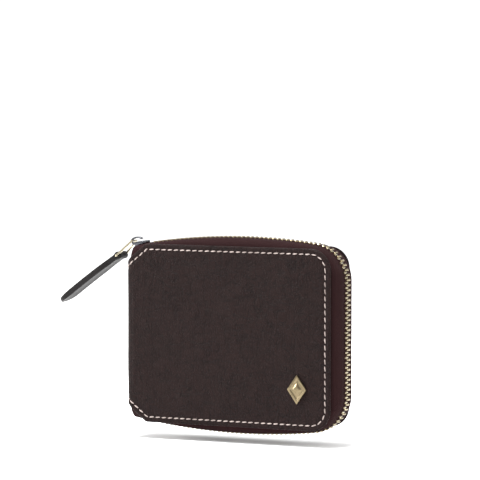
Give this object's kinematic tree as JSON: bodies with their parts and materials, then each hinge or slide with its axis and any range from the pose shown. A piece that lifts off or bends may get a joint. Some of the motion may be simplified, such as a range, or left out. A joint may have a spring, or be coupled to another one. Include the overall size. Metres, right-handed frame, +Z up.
{
  "type": "zip around wallet",
  "caption": "Bifold wallet in dark brown leather with cut spine corners, closed on three sides by a metal zip whose slider carries a leather strap pull.",
  "frame": {"origin": "centre of the back cover's flat outer face", "axes": "+Z up with the wallet standing on its lower zipped edge, front cover facing -Y, spine at -X, slider at the top of the spine"},
  "size_m": [0.1669, 0.0265, 0.1022],
  "materials": {
    "cover_leather": "soft grained, satin",
    "strap_leather": "smooth, edge painted",
    "pocket_leather": "smooth, matt",
    "lining_fabric": "fine twill",
    "zip_tape": "woven herringbone webbing",
    "zip_brass": "polished, pale",
    "emblem_brass": "satin, antiqued rim",
    "slider_gunmetal": "dark nickel plate",
    "stitch_thread": "bonded polyester thread"
  },
  "bodies": {
    "back_half": {"back_cover": "cover_leather", "back_lining": "lining_fabric", "back_bill_wall": "pocket_leather", "back_slip_pocket": "pocket_leather", "back_card_pocket_1": "pocket_leather", "back_card_pocket_2": "pocket_leather", "back_card_pocket_3": "pocket_leather", "back_zip_tape": "zip_tape", "back_zip_teeth": "zip_brass", "zip_bottom_stop": "zip_brass"},
    "spine": {"spine_cover": "cover_leather", "spine_lining": "lining_fabric"},
    "front_half": {"front_cover": "cover_leather", "front_lining": "lining_fabric", "front_bill_wall": "pocket_leather", "front_card_pocket_1": "pocket_leather", "front_card_pocket_2": "pocket_leather", "front_card_pocket_3": "pocket_leather", "front_card_pocket_4": "pocket_leather", "front_zip_tape": "zip_tape", "front_zip_teeth": "zip_brass", "emblem_stud": "emblem_brass", "emblem_washer": "emblem_brass"},
    "slider": {"slider_body": "slider_gunmetal", "slider_bridge": "slider_gunmetal"},
    "pull_link": {"pull_link": "zip_brass"},
    "pull_strap": {"pull_strap": "strap_leather"}
  },
  "joints": [
    {"name": "cover_open", "type": "hinge", "parent": "back_half", "child": "spine", "pos_m": [-0.05706, -0.00144, 0], "axis": [0, 0, -1], "range_deg": [0, 90]},
    {"name": "front_fold", "type": "hinge", "parent": "spine", "child": "front_half", "pos_m": [-0.05706, -0.02356, 0], "axis": [0, 0, -1], "range_deg": [0, 90]},
    {"name": "slider_run", "type": "hinge", "parent": "back_half", "child": "slider", "pos_m": [0.0045, -0.0125, -0.2989], "axis": [0, 1, 0], "range_deg": [0, 11.5]},
    {"name": "link_turn", "type": "hinge", "parent": "slider", "child": "pull_link", "pos_m": [-0.05996, -0.0125, 0.04701], "axis": [0, 1, 0], "range_deg": [0, 121.25]},
    {"name": "strap_lift", "type": "hinge", "parent": "pull_link", "child": "pull_strap", "pos_m": [-0.06774, -0.0125, 0.03923], "axis": [0, 1, 0], "range_deg": [0, 99]}
  ],
  "couplings": [
    {"joint": "front_fold", "follows": "cover_open", "ratio": 1},
    {"joint": "link_turn", "follows": "slider_run", "ratio": 10.5},
    {"joint": "strap_lift", "follows": "cover_open", "ratio": 1.1}
  ]
}
